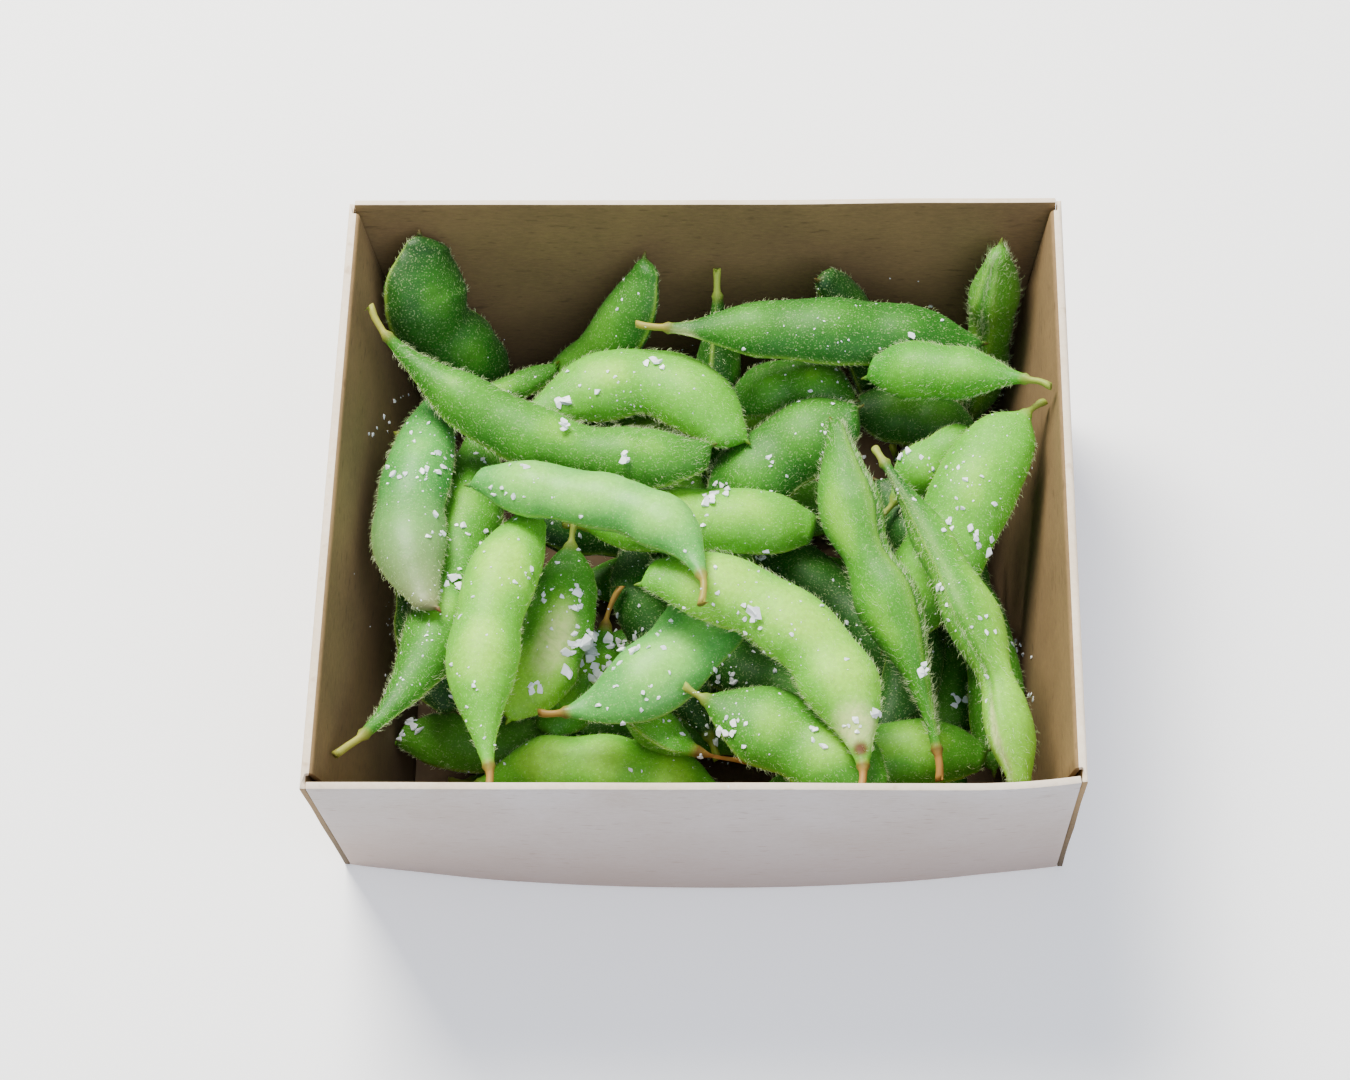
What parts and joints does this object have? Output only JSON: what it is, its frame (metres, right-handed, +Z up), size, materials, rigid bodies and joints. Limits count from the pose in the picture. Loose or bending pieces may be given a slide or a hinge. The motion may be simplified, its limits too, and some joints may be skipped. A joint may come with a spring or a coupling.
{
  "type": "edamame pod bundle",
  "caption": "Salted edamame pods piled in a small folded board box with flared front and back and hollow side walls.",
  "frame": {"origin": "centre of the box's footprint on its flat underside", "axes": "+Z up, -Y towards the bowed front panel, X along the front panel"},
  "size_m": [0.13, 0.121, 0.0555],
  "materials": {
    "kraft_board": "matte",
    "deep_green": "satin",
    "mid_green": "satin",
    "yellow_green": "satin",
    "blue_green": "satin",
    "salt": "gloss"
  },
  "bodies": {
    "root": {"paper_box": "kraft_board", "pod_01": "mid_green", "pod_02": "mid_green", "pod_03": "mid_green", "pod_04": "mid_green", "pod_05": "mid_green", "pod_06": "mid_green", "pod_07": "mid_green", "pod_08": "mid_green", "pod_09": "mid_green", "pod_10": "mid_green", "pod_11": "mid_green", "pod_12": "mid_green", "pod_13": "deep_green", "pod_14": "deep_green", "pod_15": "deep_green", "pod_16": "deep_green", "pod_17": "deep_green", "pod_18": "mid_green", "pod_19": "deep_green", "pod_20": "deep_green", "pod_21": "mid_green", "pod_22": "deep_green", "pod_23": "deep_green", "pod_24": "deep_green", "pod_25": "deep_green", "pod_26": "deep_green", "pod_27": "deep_green", "pod_28": "deep_green", "pod_29": "deep_green", "pod_30": "yellow_green", "pod_31": "mid_green", "pod_32": "mid_green", "pod_33": "mid_green", "pod_34": "yellow_green", "pod_35": "yellow_green", "pod_36": "mid_green", "pod_37": "yellow_green", "pod_38": "mid_green", "pod_39": "mid_green", "pod_40": "blue_green", "pod_41": "yellow_green", "pod_42": "mid_green", "pod_43": "yellow_green", "pod_44": "mid_green", "pod_45": "yellow_green", "pod_46": "blue_green", "pod_47": "mid_green", "pod_48": "yellow_green", "pod_49": "yellow_green", "pod_50": "blue_green", "pod_51": "mid_green", "pod_52": "mid_green", "salt_flake_1": "salt", "salt_flake_2": "salt", "salt_flake_3": "salt", "salt_flake_4": "salt", "salt_flake_5": "salt", "salt_flake_6": "salt"}
  },
  "joints": []
}
